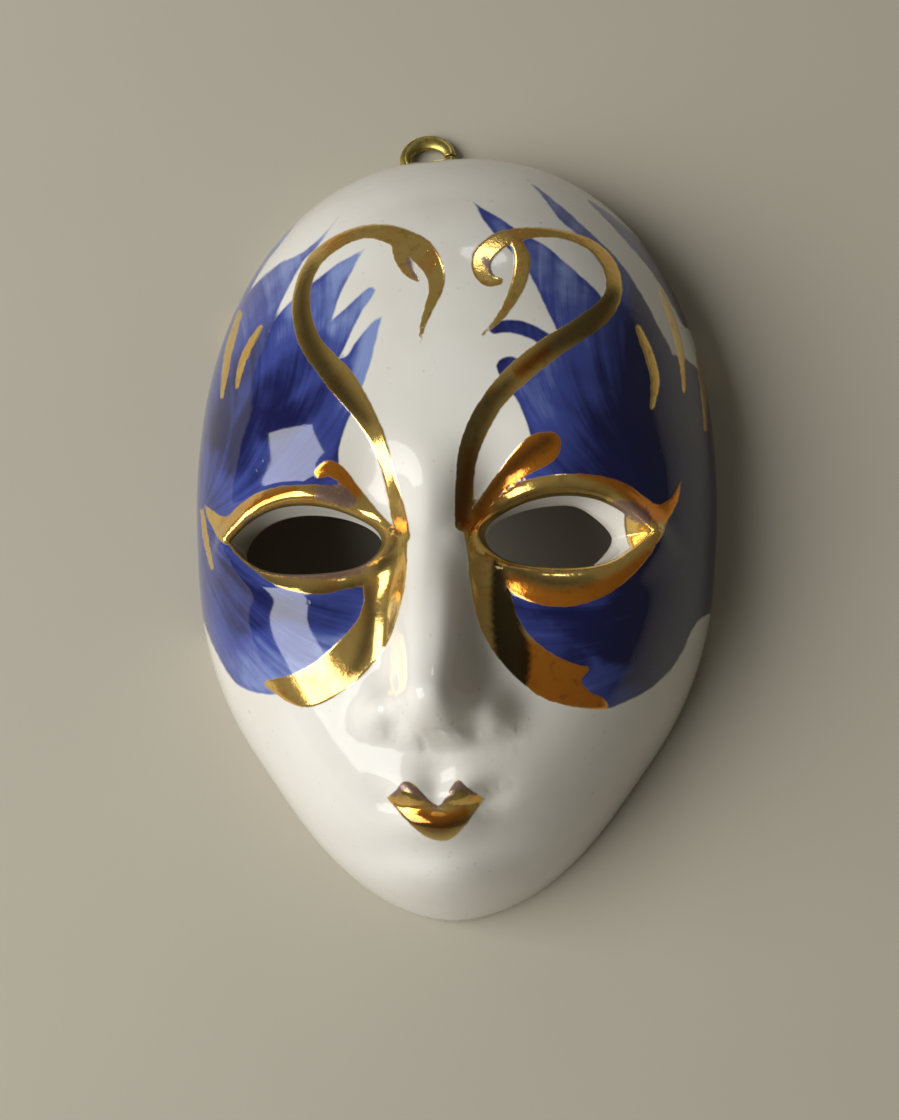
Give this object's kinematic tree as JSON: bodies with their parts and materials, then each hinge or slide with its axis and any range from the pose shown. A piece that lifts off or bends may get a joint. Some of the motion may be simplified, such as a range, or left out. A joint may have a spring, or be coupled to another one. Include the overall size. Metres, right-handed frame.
{
  "type": "miniature masquerade mask",
  "caption": "Small glazed ceramic full-face mask ornament, hollow behind, with open eyes and a brass ring that swings in a folded strap at the crown.",
  "frame": {"origin": "middle of the foot of the whole object, on the plane of the mask's flat rim", "axes": "+Z out of the face, +Y to the crown and the hanging ring, +X to the viewer's right; the mask lies face up on its rim"},
  "size_m": [0.041, 0.0645, 0.0208],
  "materials": {
    "glazed_white": "polished",
    "brass": "satin",
    "cement": "matte"
  },
  "bodies": {
    "mask": {"mask_shell": "glazed_white", "hanger_strap": "brass", "hanger_cement": "cement"},
    "ring": {"hanger_ring": "brass"}
  },
  "joints": [
    {"name": "ring_swing", "type": "hinge", "parent": "mask", "child": "ring", "pos_m": [-0.0023, 0.02796, 0.00115], "axis": [1, 0, 0], "range_deg": [-175, 50]}
  ]
}
